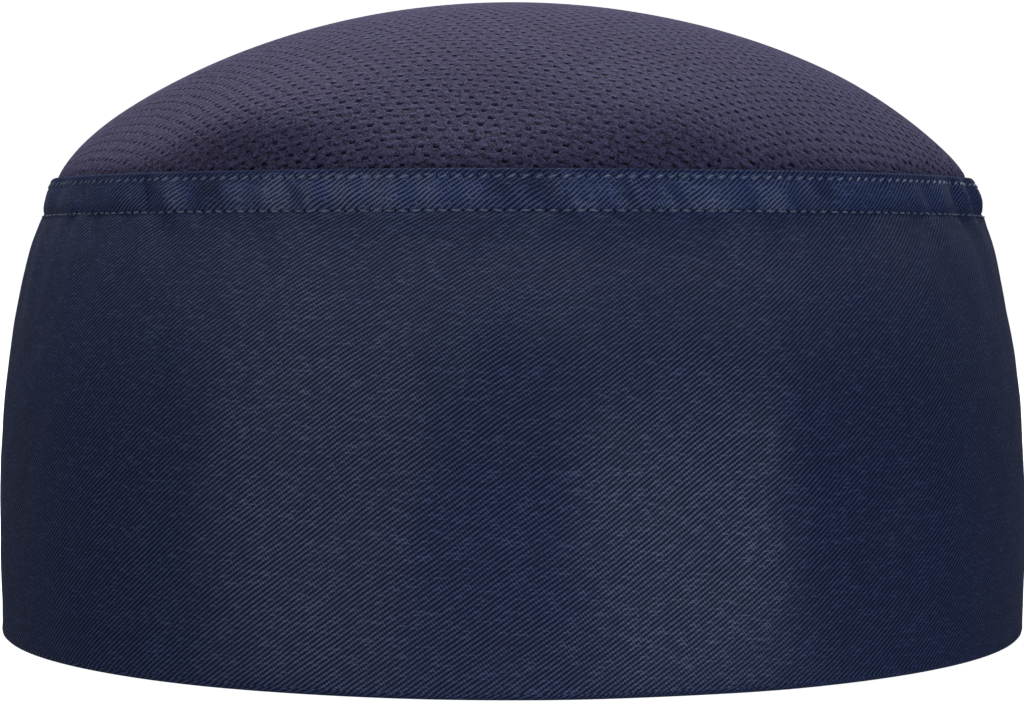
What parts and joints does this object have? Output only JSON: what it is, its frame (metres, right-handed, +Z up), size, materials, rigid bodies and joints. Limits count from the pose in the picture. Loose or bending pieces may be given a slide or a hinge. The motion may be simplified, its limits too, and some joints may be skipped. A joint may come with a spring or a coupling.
{
  "type": "chef skull cap",
  "caption": "Brimless cook's skull cap: a twill head band folded double, with a low dome of knitted mesh sewn in behind its topstitched edge.",
  "frame": {"origin": "on the plane of the hem, under the middle of the head opening", "axes": "+Z up towards the crown, the front faces -Y, +X to the right as seen from the front"},
  "size_m": [0.1773, 0.204, 0.1085],
  "materials": {
    "band_twill": "navy cotton-blend twill, fine diagonal rib, matt",
    "crown_mesh": "knitted mesh in a dusty violet navy with rows of small slit holes, matt"
  },
  "bodies": {
    "root": {"band": "band_twill", "crown": "crown_mesh"}
  },
  "joints": []
}
